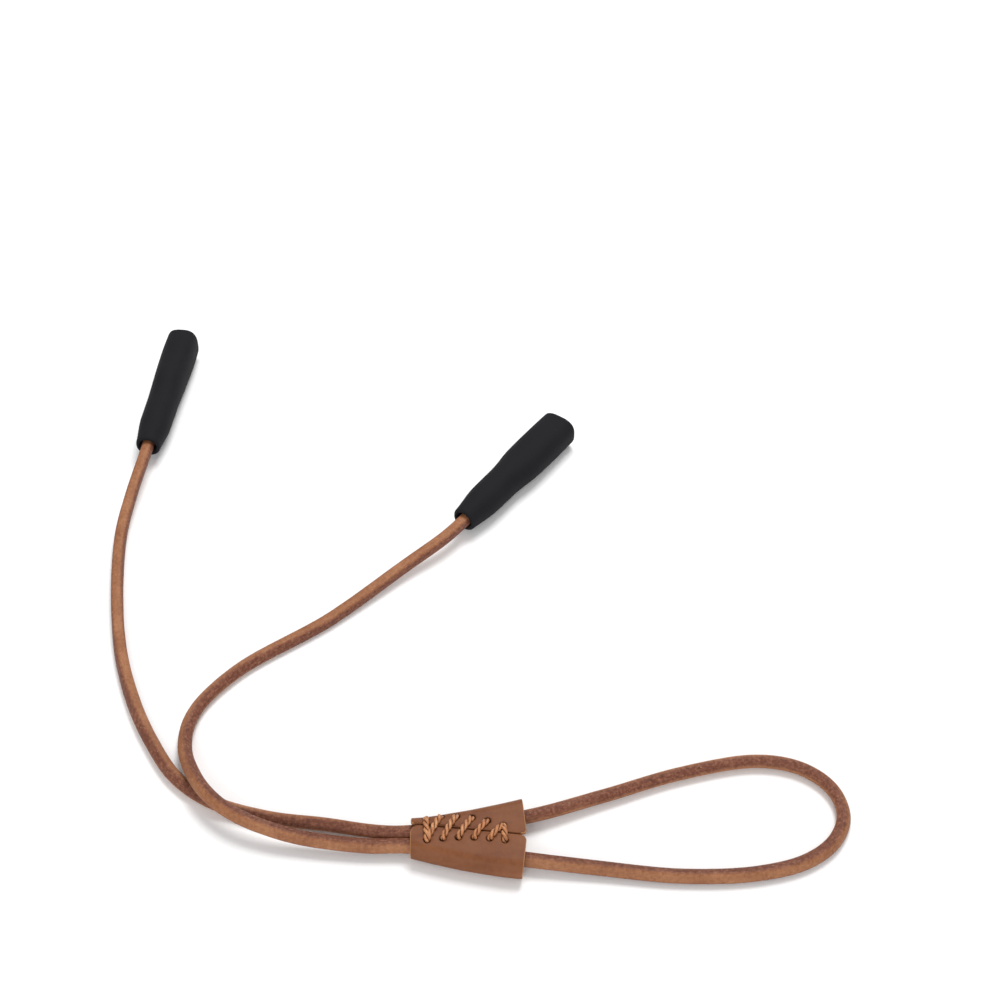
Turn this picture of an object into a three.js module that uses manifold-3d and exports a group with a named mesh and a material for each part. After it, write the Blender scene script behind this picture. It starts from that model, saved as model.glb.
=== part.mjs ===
// Eyeglass retainer strap: one round leather cord, doubled back through a stitched leather slide,
// with a soft rubber sleeve on each end that grips a pair of glasses by the temples.
// Millimetres, +Z up. The strap lies on a flat surface at z = 0, with the slide's axis along X and
// the origin under the middle of the slide.
import * as THREE from "three";
import { mergeVertices } from "three/addons/utils/BufferGeometryUtils.js";
import Module from "manifold-3d";

const wasm = await Module();
wasm.setup();

// ---------------------------------------------------------------- driving dimensions

const CORD_DIAMETER = 3.6;
const CORD_ANCHORED = 17; // length of cord hidden in each sleeve
const CORD_STEPS = 80;
const PAIR_GAP = 0.4; // between the two strands in the slide's narrow end
const CROSSING_GAP = 0.5; // between the strands where the cord passes over itself

const SLIDE_LENGTH = 27.6;
const SLIDE_WIDE_END = 21.7; // outer width of the end that faces the loop
const LEATHER = 1;
const SLIDE_RUNNING_GAP = 0.25; // between the cord and the slide
const SPREAD_SLACK = { rear: 1.4, front: 2 }; // from a strand to the wall of the wide end
const SEAM_WIDTH = 0.4;
const SEAM_AT_NARROW_END = 2.1; // how far the seam lies behind the slide's middle
const SEAM_AT_WIDE_END = -1;

const STITCH_HOLES = 6; // in each flap
const STITCH_PITCH = 3.84;
const STITCH_STOPS = [0, 0.5, 0.75, 1]; // where a stitch bends, as shares of its way to the rear row
const STITCH_LEAD = 0.5; // how far the rear row is set towards the narrow end
const FRONT_ROW = { narrow: -2.7, middle: -1.9, wide: -2.7 }; // across the slide
const REAR_ROW = { narrow: 4, middle: 4.25, wide: 1.6 };
const THREAD_DIAMETER = 1.2;
const THREAD_INSIDE = 0.6; // the runs inside the slide are pulled flat
const THREAD_GAP = 0.15;
const HOLE_GAP = 0.2;

const SLEEVE_LENGTH = 50;
const SOCKET = { width: 8, height: 6.2, depth: 26 }; // for the tip of a temple
const MOUTH_WALL = 1.8;
const BELLY = 0.2; // how far the sleeve swells between its mouth and its neck
const WAIST_WALL = 1.65;
const CORD_END_WALL = 1.1;
const RIM_ROUND = 0.7;
const SHOULDER_DEPTH = 9; // from the cord end to the step that the crimp pulls against
const BORE_GAP = 0.4;
const BORE_FLARE = 0.5;
const BORE_FLARE_DEPTH = 6;
const CRIMP = { length: 8, wall: 0.7, gap: 0.3 };

const LEFT_SLEEVE = { x: -99, y: 138.8, turn: 5.2, roll: 90 }; // place of the cord end, and degrees
const RIGHT_SLEEVE = { x: -2.5, y: 108.4, turn: 36, roll: 0 };

// ---------------------------------------------------------------- sizes that follow from them

const cordRadius = CORD_DIAMETER / 2;
const halfPair = (CORD_DIAMETER + PAIR_GAP) / 2;

const cornerRadius = cordRadius + SLIDE_RUNNING_GAP + LEATHER;
const slideHeight =
  2 * LEATHER + CORD_DIAMETER + 2 * SLIDE_RUNNING_GAP + THREAD_INSIDE + THREAD_GAP;
const narrowHalf = halfPair + cornerRadius;
const wideHalf = SLIDE_WIDE_END / 2;
const widest = wideHalf - cornerRadius; // the furthest out that a strand's centre can lie
const pastSlide = SLIDE_LENGTH / 2 + 0.2;

const boreRadius = cordRadius + BORE_GAP;
const crimpRadius = cordRadius + CRIMP.gap + CRIMP.wall;
const chamberRadius = crimpRadius + CRIMP.gap;
const mouth = { width: SOCKET.width / 2 + MOUTH_WALL, height: SOCKET.height / 2 + MOUTH_WALL };
const waist = chamberRadius + WAIST_WALL;
const cordEnd = boreRadius + BORE_FLARE + CORD_END_WALL;

// ---------------------------------------------------------------- solids

const up = new THREE.Vector3(0, 1, 0);

function solidOf(geometry) {
  const bare = geometry.index ? geometry.toNonIndexed() : geometry.clone();
  bare.deleteAttribute("normal");
  bare.deleteAttribute("uv");
  const merged = mergeVertices(bare, 1e-4);
  return new wasm.Manifold(
    new wasm.Mesh({
      numProp: 3,
      vertProperties: new Float32Array(merged.attributes.position.array),
      triVerts: new Uint32Array(merged.index.array),
    }),
  );
}

function geometryOf(solid) {
  const { vertProperties, triVerts } = solid.getMesh();
  const geometry = new THREE.BufferGeometry();
  geometry.setAttribute("position", new THREE.BufferAttribute(vertProperties, 3));
  geometry.setIndex(new THREE.BufferAttribute(triVerts, 1));
  const flat = geometry.toNonIndexed();
  flat.computeVertexNormals();
  return flat;
}

// A closed solid through convex rings that turn by the right hand about the way they follow.
function loft(rings) {
  const count = rings[0].length;
  const last = (rings.length - 1) * count;
  const index = [];
  for (let start = 0; start < last; start += count) {
    for (let i = 0; i < count; i++) {
      const a = start + i;
      const b = start + ((i + 1) % count);
      index.push(a, b, b + count, a, b + count, a + count);
    }
  }
  for (let i = 1; i < count - 1; i++) {
    index.push(0, i + 1, i);
    index.push(last, last + i, last + i + 1);
  }
  const geometry = new THREE.BufferGeometry().setFromPoints(rings.flat());
  geometry.setIndex(index);
  return solidOf(geometry);
}

// A round bar between two points.
function rod(from, to, radius, sides = 8) {
  const along = to.clone().sub(from);
  const geometry = new THREE.CylinderGeometry(radius, radius, along.length(), sides);
  const turn = new THREE.Quaternion().setFromUnitVectors(up, along.clone().normalize());
  geometry.applyQuaternion(turn);
  geometry.translate(...from.clone().add(to).multiplyScalar(0.5));
  return solidOf(geometry);
}

function lathe(profile, segments = 24) {
  const points = profile.map(([radius, along]) => new THREE.Vector2(radius, along));
  return new THREE.LatheGeometry(points, segments);
}

function named(name, geometry, look) {
  const mesh = new THREE.Mesh(geometry, new THREE.MeshStandardMaterial({ metalness: 0, ...look }));
  mesh.name = name;
  return mesh;
}

const strap = new THREE.Group();

// ---------------------------------------------------------------- temple sleeves

// In its own frame a sleeve runs along +Y, from the cord end at the origin to the mouth.

// A section a little squarer than an ellipse, as moulded rubber has.
function oval(along, halfWidth, halfHeight, count = 28) {
  const squared = (value) => Math.sign(value) * Math.abs(value) ** 0.88;
  return Array.from({ length: count }, (_, i) => {
    const angle = (2 * Math.PI * i) / count;
    const x = halfWidth * squared(Math.sin(angle));
    const z = halfHeight * squared(Math.cos(angle));
    return new THREE.Vector3(x, along, z);
  });
}

function sleeveBody() {
  const sections = [
    [0, cordEnd - RIM_ROUND, cordEnd - RIM_ROUND],
    [0.012, cordEnd - RIM_ROUND * 0.3, cordEnd - RIM_ROUND * 0.3],
    [0.04, cordEnd, cordEnd],
    [0.1, cordEnd + 0.45 * (waist - cordEnd), cordEnd + 0.45 * (waist - cordEnd)],
    [0.2, waist + BELLY, waist - BELLY / 2],
    [0.3, waist + BELLY, waist - BELLY / 2],
    [0.4, waist + BELLY, waist - BELLY / 2],
    [0.47, waist + 0.3 * (mouth.width - waist) + BELLY, waist],
    [0.54, waist + 0.8 * (mouth.width - waist) + BELLY, waist],
    [0.6, mouth.width + BELLY, mouth.height - BELLY / 2],
    [0.8, mouth.width + BELLY / 2, mouth.height + BELLY],
    [0.96, mouth.width, mouth.height],
    [0.988, mouth.width - RIM_ROUND * 0.3, mouth.height - RIM_ROUND * 0.3],
    [1, mouth.width - RIM_ROUND, mouth.height - RIM_ROUND],
  ];
  const outside = loft(
    sections.map(([share, width, height]) => oval(share * SLEEVE_LENGTH, width, height)),
  );
  const socketFloor = SLEEVE_LENGTH - SOCKET.depth;
  const socket = loft(
    [socketFloor, SLEEVE_LENGTH + 1].map((along) =>
      oval(along, SOCKET.width / 2, SOCKET.height / 2),
    ),
  );
  const flarePerMm = BORE_FLARE / BORE_FLARE_DEPTH;
  const passage = lathe([
    [0, -1],
    [boreRadius + BORE_FLARE + flarePerMm, -1],
    [boreRadius, BORE_FLARE_DEPTH],
    [boreRadius, SHOULDER_DEPTH],
    [chamberRadius, SHOULDER_DEPTH],
    [chamberRadius, socketFloor + 1],
    [0, socketFloor + 1],
  ]);
  return geometryOf(outside.subtract(socket).subtract(solidOf(passage)));
}

function crimpBody() {
  const inside = cordRadius + CRIMP.gap;
  const start = SHOULDER_DEPTH + CRIMP.gap;
  const end = start + CRIMP.length;
  const profile = [
    [inside, start],
    [crimpRadius, start],
    [crimpRadius, end],
    [inside, end],
    [inside, start],
  ];
  return lathe(profile, 20);
}

const sleeveRest = (place) => (place.roll === 0 ? mouth.height + BELLY : mouth.width + BELLY);

// The direction in which a sleeve points, from its cord end to its mouth.
function sleeveWay(place) {
  const turn = THREE.MathUtils.degToRad(place.turn);
  return new THREE.Vector3(Math.sin(turn), Math.cos(turn), 0);
}

function sleeveSet(side, place) {
  const set = new THREE.Group();
  set.position.set(place.x, place.y, sleeveRest(place));
  set.rotation.z = -THREE.MathUtils.degToRad(place.turn);
  const rubber = { color: 0x232227, roughness: 0.72 };
  const sleeve = named(`${side}_temple_sleeve`, sleeveBody(), rubber);
  sleeve.rotation.y = THREE.MathUtils.degToRad(place.roll);
  const steel = { color: 0xb9b4a8, roughness: 0.35, metalness: 1 };
  set.add(sleeve, named(`${side}_cord_crimp`, crimpBody(), steel));
  return set;
}

strap.add(sleeveSet("left", LEFT_SLEEVE), sleeveSet("right", RIGHT_SLEEVE));

// ---------------------------------------------------------------- leather cord

// Heights of the cord's centreline.
const lying = cordRadius;
const inSlide = LEATHER + SLIDE_RUNNING_GAP + cordRadius;
const over = (share) => lying + share * (CORD_DIAMETER + CROSSING_GAP);
const falling = (share) => lying + share * (inSlide - lying);

// A point of the cord on a sleeve's axis, so far outside the sleeve's cord end.
function atSleeve(place, outside) {
  const end = new THREE.Vector3(place.x, place.y, sleeveRest(place));
  return end.addScaledVector(sleeveWay(place), -outside).toArray();
}

const route = [
  // out of the left sleeve and down to the surface
  atSleeve(LEFT_SLEEVE, -CORD_ANCHORED),
  atSleeve(LEFT_SLEEVE, 6),
  [-101.3, 119, 4.5],
  [-102.3, 103, lying + 0.4],
  [-96.7, 65.5, lying],
  [-89.9, 45, lying],
  [-82.4, 30.2, lying],
  [-74.8, 19.4, lying],
  [-64.8, 12, lying],
  [-50.5, 7.3, lying],
  // under the other strand and through the rear of the slide
  [-35.5, 4.8, falling(0.5)],
  [-21.5, halfPair + 0.15, inSlide],
  [-pastSlide, halfPair + 0.1, inSlide],
  [pastSlide, widest - SPREAD_SLACK.rear, inSlide],
  // round the loop
  [34, 13.3, falling(0.3)],
  [55, 20.8, lying],
  [75, 24.6, lying],
  [86.2, 22.1, lying],
  [93, 15.8, lying],
  [94.8, 7.6, lying],
  [91.3, 0, lying],
  [83.5, -5.8, lying],
  [70.5, -9.2, lying],
  [52.5, -9.8, lying],
  [33.5, -7.9, falling(0.3)],
  // through the front of the slide
  [pastSlide, SPREAD_SLACK.front - widest, inSlide],
  [-pastSlide, -halfPair, inSlide],
  [-25, 0.1 - halfPair, falling(1)],
  // over the first strand in a long low hump
  [-40.5, -0.1, over(0.46)],
  [-49.5, 2, over(0.74)],
  [-57.5, 5.3, over(0.95)],
  [-64, 10.1, over(1)],
  [-69.2, 16.8, over(0.93)],
  [-73.7, 29, over(0.25)],
  // and up to the right sleeve
  [-72.8, 40.5, lying],
  [-63, 54.5, lying],
  [-40, 72.3, lying],
  [-18.5, 92.3, 3.4],
  atSleeve(RIGHT_SLEEVE, 7),
  atSleeve(RIGHT_SLEEVE, -CORD_ANCHORED),
];

// The smooth curve through the route, which the surface below stops from dipping.
class LyingCurve extends THREE.CatmullRomCurve3 {
  getPoint(share, target) {
    const point = super.getPoint(share, target);
    point.z = Math.max(point.z, lying);
    return point;
  }
}

function cordBody() {
  const path = new LyingCurve(route.map((point) => new THREE.Vector3(...point)));
  const section = new THREE.Shape().absarc(0, 0, cordRadius, 0, 2 * Math.PI);
  return new THREE.ExtrudeGeometry(section, {
    steps: CORD_STEPS,
    curveSegments: 5,
    bevelEnabled: false,
    extrudePath: path,
  });
}

strap.add(named("leather_cord", cordBody(), { color: 0xa1683f, roughness: 0.55 }));

// ---------------------------------------------------------------- stitched slide

const narrowEnd = -SLIDE_LENGTH / 2;
const shareAlong = (x) => (x - narrowEnd) / SLIDE_LENGTH;
const outerHalf = (x) => narrowHalf + shareAlong(x) * (wideHalf - narrowHalf);
const seamAt = (x) =>
  SEAM_AT_NARROW_END + shareAlong(x) * (SEAM_AT_WIDE_END - SEAM_AT_NARROW_END);

// A rounded rectangle across the slide at x, so deep below its outer surface.
function wrapRing(x, depth, segments = 6) {
  const centreY = outerHalf(x) - cornerRadius;
  const radius = cornerRadius - depth;
  const corners = [
    [centreY, slideHeight - cornerRadius, 0],
    [-centreY, slideHeight - cornerRadius, 1],
    [-centreY, cornerRadius, 2],
    [centreY, cornerRadius, 3],
  ];
  return corners.flatMap(([y, z, quarter]) =>
    Array.from({ length: segments + 1 }, (_, i) => {
      const angle = (quarter + i / segments) * (Math.PI / 2);
      return new THREE.Vector3(x, y + radius * Math.cos(angle), z + radius * Math.sin(angle));
    }),
  );
}

// A point on the slide's top, so far across from the middle and so deep below the surface.
function onTop(x, across, depth) {
  const flat = outerHalf(x) - cornerRadius;
  const turn = Math.max(Math.abs(across) - flat, 0) / cornerRadius;
  const reach = Math.min(Math.abs(across), flat) + (cornerRadius - depth) * Math.sin(turn);
  const z = slideHeight - cornerRadius + (cornerRadius - depth) * Math.cos(turn);
  return new THREE.Vector3(x, Math.sign(across) * reach, z);
}

// The holes of one row lie on a shallow arc through three values.
function stitchRow({ narrow, middle, wide }, lead) {
  const halfRun = ((STITCH_HOLES - 1) / 2) * STITCH_PITCH;
  return Array.from({ length: STITCH_HOLES }, (_, i) => {
    const along = i * STITCH_PITCH - halfRun;
    const t = along / halfRun;
    const across = middle + ((wide - narrow) / 2) * t + ((wide + narrow) / 2 - middle) * t * t;
    return { x: along - lead, across };
  });
}

const frontHoles = stitchRow(FRONT_ROW, 0);
const rearHoles = stitchRow(REAR_ROW, STITCH_LEAD);

function wrapBody() {
  const ends = [narrowEnd, -narrowEnd];
  const cutEnds = [narrowEnd - 1, 1 - narrowEnd];
  let wrap = loft(ends.map((x) => wrapRing(x, 0)));
  wrap = wrap.subtract(loft(cutEnds.map((x) => wrapRing(x, LEATHER))));
  const [from, to] = cutEnds.map((x) => new THREE.Vector3(x, seamAt(x), slideHeight));
  const seam = new THREE.BoxGeometry(from.distanceTo(to), SEAM_WIDTH, 2.5 * LEATHER);
  seam.rotateZ(Math.atan2(to.y - from.y, to.x - from.x));
  seam.translate(...from.add(to).multiplyScalar(0.5));
  wrap = wrap.subtract(solidOf(seam));
  for (const { x, across } of [...frontHoles, ...rearHoles]) {
    const hole = rod(
      onTop(x, across, LEATHER + 0.5),
      onTop(x, across, -0.5),
      THREAD_DIAMETER / 2 + HOLE_GAP,
    );
    wrap = wrap.subtract(hole);
  }
  return geometryOf(wrap);
}

// One waxed thread: over the seam from the front row to the rear row, back inside, and on to the
// next hole. The first and the last stitch are sewn twice.
function threadBody() {
  const above = -(THREAD_GAP + THREAD_DIAMETER / 2);
  const below = LEATHER + THREAD_GAP + THREAD_INSIDE / 2;
  const at = ({ x, across }, depth) => onTop(x, across, depth);
  const pieces = [];
  for (const hole of [...frontHoles, ...rearHoles]) {
    pieces.push(rod(at(hole, below), at(hole, above - 0.3), THREAD_DIAMETER / 2));
  }
  frontHoles.forEach((front, i) => {
    pieces.push(rod(at(rearHoles[i], below), at(front, below), THREAD_INSIDE / 2));
  });
  const last = STITCH_HOLES - 1;
  const stitches = [[frontHoles[0], rearHoles[0]]];
  for (let i = 0; i < last; i++) {
    stitches.push([frontHoles[i], rearHoles[i + 1]]);
  }
  stitches.push([frontHoles[last], rearHoles[last]]);
  for (const [front, rear] of stitches) {
    const stops = STITCH_STOPS.map((share) => {
      const x = front.x + share * (rear.x - front.x);
      const across = front.across + share * (rear.across - front.across);
      return at({ x, across }, above);
    });
    for (let i = 1; i < stops.length; i++) {
      pieces.push(rod(stops[i - 1], stops[i], THREAD_DIAMETER / 2));
    }
  }
  return geometryOf(pieces.reduce((thread, piece) => thread.add(piece)));
}

strap.add(
  named("slide_wrap", wrapBody(), { color: 0x8f5e3a, roughness: 0.5 }),
  named("stitch_thread", threadBody(), { color: 0xc88c55, roughness: 0.6 }),
);

export default strap;
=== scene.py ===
# %% [markdown]
# # A leather retainer strap for eyeglasses
#
# One round leather cord is doubled back through a stitched leather slide, so that its middle makes
# a loop. A soft rubber sleeve on each end grips a pair of glasses by its temples. The imported part
# already holds all of these as plain solids in their right places. This lesson gives each of them
# the shape and the finish of the real thing: cord, slide, stitches, sleeves and the small metal
# crimps inside the sleeves. The box round an imported solid is worked out here, for the slide's sizes.

# %% Load the imported part
import math

import bmesh
import bpy
import numpy as np
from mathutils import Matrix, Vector, noise


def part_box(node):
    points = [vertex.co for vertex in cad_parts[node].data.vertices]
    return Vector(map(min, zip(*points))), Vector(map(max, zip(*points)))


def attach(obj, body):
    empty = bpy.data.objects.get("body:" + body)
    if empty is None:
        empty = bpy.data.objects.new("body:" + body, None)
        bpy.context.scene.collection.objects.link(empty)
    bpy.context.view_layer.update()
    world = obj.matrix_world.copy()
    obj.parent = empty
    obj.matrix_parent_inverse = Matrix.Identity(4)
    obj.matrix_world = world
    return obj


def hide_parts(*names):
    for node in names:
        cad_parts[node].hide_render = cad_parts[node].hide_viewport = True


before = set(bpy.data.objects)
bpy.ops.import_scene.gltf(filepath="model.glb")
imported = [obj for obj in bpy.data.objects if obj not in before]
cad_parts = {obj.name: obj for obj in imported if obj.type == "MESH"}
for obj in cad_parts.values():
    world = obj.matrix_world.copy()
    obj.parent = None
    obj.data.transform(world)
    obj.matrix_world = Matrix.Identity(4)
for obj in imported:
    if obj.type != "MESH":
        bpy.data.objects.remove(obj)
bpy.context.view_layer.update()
MM = 0.001

# %% [markdown]
# ## The camera
#
# The strap lies flat, and the camera looks down on it at 45 degrees from in front. A fairly long
# lens keeps the near and the far end of the strap at nearly the same scale. The camera comes first,
# because where it stands decides how a cord may be laid out.

# %% Camera
camera = bpy.data.objects.new("camera", bpy.data.cameras.new("camera"))
camera.data.sensor_width = 36
camera.data.lens = 61.2
camera.data.clip_start = 0.01
camera.location = (0.0083, -0.2386, 0.3606)
camera.rotation_euler = (math.radians(45), 0, 0)
bpy.context.scene.collection.objects.link(camera)
bpy.context.scene.camera = camera
print("camera looks down at 45 degrees with a", camera.data.lens, "mm lens")

# %% [markdown]
# ## The line that the cord follows
#
# A limp cord lies where it was dropped, so its line is a list of places, in metres: out of the left
# sleeve, through the rear of the slide, round the loop, through the front of the slide, over itself
# in a long low hump and up to the right sleeve. A curve object could follow them, but a mesh gives
# control over the leather's section, so the smooth line is worked out here. A centripetal
# Catmull-Rom curve passes through every place and never makes a small loop of its own where the
# places are close together.

# %% Places on the route
CORD_RADIUS = 1.8 * MM
ROUTE = [
    (-0.09746, 0.15573, 0.006),
    (-0.09954, 0.13282, 0.006),
    (-0.1013, 0.119, 0.0045),
    (-0.1023, 0.103, 0.0022),
    (-0.0967, 0.0655, 0.0018),
    (-0.0899, 0.045, 0.0018),
    (-0.0824, 0.0302, 0.0018),
    (-0.0748, 0.0194, 0.0018),
    (-0.0648, 0.012, 0.0018),
    (-0.0505, 0.0073, 0.0018),
    (-0.0355, 0.0048, 0.00242),
    (-0.0215, 0.00215, 0.00305),
    (-0.014, 0.0021, 0.00305),
    (0.014, 0.0064, 0.00305),
    (0.034, 0.0133, 0.00217),
    (0.055, 0.0208, 0.0018),
    (0.075, 0.0246, 0.0018),
    (0.0862, 0.0221, 0.0018),
    (0.093, 0.0158, 0.0018),
    (0.0948, 0.0076, 0.0018),
    (0.0913, 0.0, 0.0018),
    (0.0835, -0.0058, 0.0018),
    (0.0705, -0.0092, 0.0018),
    (0.0525, -0.0098, 0.0018),
    (0.0335, -0.0079, 0.00217),
    (0.014, -0.0058, 0.00305),
    (-0.014, -0.002, 0.00305),
    (-0.025, -0.0019, 0.00305),
    (-0.0405, -0.0001, 0.00369),
    (-0.0495, 0.002, 0.00483),
    (-0.0575, 0.0053, 0.00569),
    (-0.064, 0.0101, 0.0059),
    (-0.0692, 0.0168, 0.00561),
    (-0.0737, 0.029, 0.00283),
    (-0.0728, 0.0405, 0.0018),
    (-0.063, 0.0545, 0.0018),
    (-0.04, 0.0723, 0.0018),
    (-0.0185, 0.0923, 0.0034),
    (-0.00661, 0.10274, 0.0051),
    (0.00749, 0.12215, 0.0051),
]
print(len(ROUTE), "places from one sleeve to the other")


# %% A smooth line through places
def smooth_line(stops, per_span=24):
    """Points on the centripetal Catmull-Rom curve through the stops."""
    stops = np.array(stops, float)
    stops = np.vstack([2 * stops[0] - stops[1], stops, 2 * stops[-1] - stops[-2]])
    share = (np.arange(1, per_span + 1) / per_span)[:, None]
    line = [stops[1:2]]
    for before, a, b, after in zip(stops, stops[1:], stops[2:], stops[3:]):
        pairs = (before, a), (a, b), (b, after)
        first, span, last = (math.sqrt(math.dist(*pair)) for pair in pairs)
        way_a = (a - before) / first - (b - before) / (first + span) + (b - a) / span
        way_b = (b - a) / span - (after - a) / (span + last) + (after - b) / last
        way_a, way_b = way_a * span, way_b * span
        bend = -3 * a + 3 * b - 2 * way_a - way_b
        twist = 2 * a - 2 * b + way_a + way_b
        line.append(a + way_a * share + bend * share**2 + twist * share**3)
    return np.vstack(line)


def travelled(line):
    """How far along a line each of its points is."""
    steps = np.linalg.norm(np.diff(line, axis=0), axis=1)
    return np.concatenate([[0], np.cumsum(steps)])


def evenly(line, spacing):
    """The line again, with its points the same distance apart."""
    along = travelled(line)
    at = np.linspace(0, along[-1], round(along[-1] / spacing) + 1)
    return np.stack([np.interp(at, along, line[:, axis]) for axis in range(3)], axis=1)


cord_line = smooth_line(ROUTE)
cord_line[:, 2] = np.maximum(cord_line[:, 2], CORD_RADIUS)
cord_line = evenly(cord_line, 0.8 * MM)
cord_length = travelled(cord_line)[-1]
print(f"the cord is {cord_length:.4f} m long, in {len(cord_line)} points")

# %% [markdown]
# ## Meshes from rings
#
# Nearly every piece of the strap is long and round, so it can be made as a row of rings with faces
# between them. Each ring needs two directions square to the line. They are carried along the line
# and turned as little as possible, because directions that are worked out afresh at each point flip
# over where the line points straight up. A UV map in metres, round and along, lets a pattern follow
# the leather, and named marks on the points tell a material where a cut edge or a hole is.


# %% Directions and rings
def across_line(line):
    """Two directions across a line at each point, which turn as little as they can."""
    ways = np.gradient(line, axis=0)
    ways /= np.linalg.norm(ways, axis=1, keepdims=True)
    side = np.cross(ways[0], (0, 0, 1))
    if np.linalg.norm(side) < 0.1:
        side = np.cross(ways[0], (0, 1, 0))
    sides = []
    for way in ways:
        side = side - side.dot(way) * way
        side /= np.linalg.norm(side)
        sides.append(side)
    sides = np.array(sides)
    return sides, np.cross(sides, ways)


def rings_on(line, section):
    """A ring at each point of the line. section is one ring's offsets, or one for each point."""
    sides, ups = across_line(line)
    section = np.broadcast_to(section, (len(line), *np.shape(section)[-2:]))
    flat = section[..., :1] * sides[:, None] + section[..., 1:] * ups[:, None]
    return line[:, None] + flat


def circle(count, radius=1.0):
    """Offsets round a circle, one row for each point."""
    angles = np.arange(count) * 2 * math.pi / count
    return radius * np.stack([np.cos(angles), np.sin(angles)], axis=1)


print("a circle of 4 points starts at", circle(4)[0])


# %% From rings to an object
def piece_of(name, points, faces, marks=None, uv=None):
    """A smooth-shaded object with faces that all look outwards."""
    mesh = bpy.data.meshes.new(name)
    mesh.from_pydata(np.asarray(points).tolist(), [], faces)
    if uv is not None:
        layer = mesh.uv_layers.new(name="round_and_along")
        layer.data.foreach_set("uv", np.asarray(uv, np.float32).ravel())
    for mark, values in (marks or {}).items():
        attribute = mesh.attributes.new(mark, "FLOAT", "POINT")
        attribute.data.foreach_set("value", np.asarray(values, np.float32).ravel())
    shape = bmesh.new()
    shape.from_mesh(mesh)
    bmesh.ops.recalc_face_normals(shape, faces=shape.faces)
    shape.to_mesh(mesh)
    shape.free()
    mesh.shade_smooth()
    piece = bpy.data.objects.new(name, mesh)
    bpy.context.scene.collection.objects.link(piece)
    return piece


def ring_faces(count, sides, looped=False, first=0):
    """Four-sided faces between rings of points, with a flat face on each end if not looped."""
    row = np.arange(count if looped else count - 1)[:, None]
    column = np.arange(sides)[None, :]
    here, there = row * sides, (row + 1) % count * sides
    beside = (column + 1) % sides
    quads = np.stack([here + column, here + beside, there + beside, there + column], -1)
    faces = (quads.reshape(-1, 4) + first).tolist()
    if not looped:
        faces.append(list(range(first + sides - 1, first - 1, -1)))
        faces.append(list(range(first + (count - 1) * sides, first + count * sides)))
    return faces


def ring_uv(count, sides, girth, along):
    """The UV corners that belong to ring_faces: round the ring and along the row, in metres."""
    row = np.arange(count - 1)[:, None]
    column = np.arange(sides)[None, :]
    u = np.stack(np.broadcast_arrays(column, column + 1, column + 1, column), -1)
    u = np.broadcast_to(u, (count - 1, sides, 4)) * girth / sides
    v = np.asarray(along)[np.stack([row, row, row + 1, row + 1], -1)]
    v = np.broadcast_to(v, u.shape)
    quads = np.stack([u, v], -1).reshape(-1, 2)
    ends = [[(0, along[0])] * sides, [(0, along[-1])] * sides]
    return np.vstack([quads, *ends])


def fit(piece, body, node):
    """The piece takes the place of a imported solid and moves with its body."""
    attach(piece, body)
    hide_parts(node)
    print(f"{piece.name}: {len(piece.data.polygons)} faces, moves with {body}")
    return piece


print("two rings of 4 points take", len(ring_faces(2, 4)), "faces, with the ends closed")


# %% [markdown]
# ## The leather cord
#
# Cut leather cord is never quite round: it is a square strip that was drawn through a die, so it
# keeps four soft corners. Two of its faces are smooth, and the other two are cut sides, which are
# darker and rougher. The strip turns a little along its length, so that now one face looks up and
# now another. Its thickness also wanders by a few hundredths of a millimetre. All of this is put
# into the mesh, because it catches the light in a way that a perfect tube doesn't. Each end is cut
# square, with a slightly broken edge.

# %% Cord mesh
CORD_SIDES = 24
SQUARENESS = 3.0
CORD_FLATS = 0.94
TURN_AT = (0, 0.06, 0.13, 0.2, 0.5, 0.58, 0.65)  # metres along the cord
TURN_TO = (80, 90, 135, 155, 155, 95, 80)  # where a smooth face looks: 0 is level, 90 is up
SWAY = 0.12  # radians that the strip turns to and fro besides
SWAY_RATE = 61  # radians of that swing in each metre
UNEVEN, FINER_UNEVEN = 0.016, 0.008  # shares of the radius
UNEVEN_RATE, FINER = 160, 3.1
CORNER_BLEND = 1.6
END_SHRINK = 0.9

cord_along = travelled(cord_line)
cord_angles = np.arange(CORD_SIDES) * 2 * math.pi / CORD_SIDES


def from_smooth_face(distance):
    """The angles round the cord, measured from the middle of a smooth face."""
    turn = math.radians(np.interp(distance, TURN_AT, TURN_TO))
    return cord_angles - (turn + SWAY * math.sin(SWAY_RATE * distance))


def cord_section(distance):
    """The cord's section at a distance along it."""
    angles = from_smooth_face(distance)
    bare = np.abs(np.cos(angles)) ** SQUARENESS + np.abs(np.sin(angles)) ** SQUARENESS
    reach = CORD_RADIUS * CORD_FLATS * bare ** (-1 / SQUARENESS)
    for i, angle in enumerate(cord_angles):
        place = Vector((math.cos(angle), math.sin(angle), distance * UNEVEN_RATE))
        finer = FINER_UNEVEN * noise.noise(place * FINER)
        reach[i] *= 1 + UNEVEN * noise.noise(place) + finer
    return reach[:, None] * circle(CORD_SIDES)


def cut_sides(distance):
    """1 on the cut sides of the strip, 0 on its smooth faces, with soft corners between."""
    angles = from_smooth_face(distance)
    lean = np.abs(np.sin(angles)) - np.abs(np.cos(angles))
    return np.clip(0.5 + CORNER_BLEND * lean, 0, 1)


cord_rings = rings_on(cord_line, np.array([cord_section(d) for d in cord_along]))
cord_rings[..., 2] = np.maximum(cord_rings[..., 2], 0)
for end in (0, -1):
    cord_rings[end] = cord_line[end] + END_SHRINK * (cord_rings[end] - cord_line[end])
leather_strand = piece_of(
    "cord_strand",
    cord_rings.reshape(-1, 3),
    ring_faces(len(cord_rings), CORD_SIDES),
    marks={"cut_side": np.array([cut_sides(d) for d in cord_along])},
    uv=ring_uv(len(cord_rings), CORD_SIDES, 2 * math.pi * CORD_RADIUS, cord_along),
)
fit(leather_strand, "strap", "leather_cord")

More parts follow.
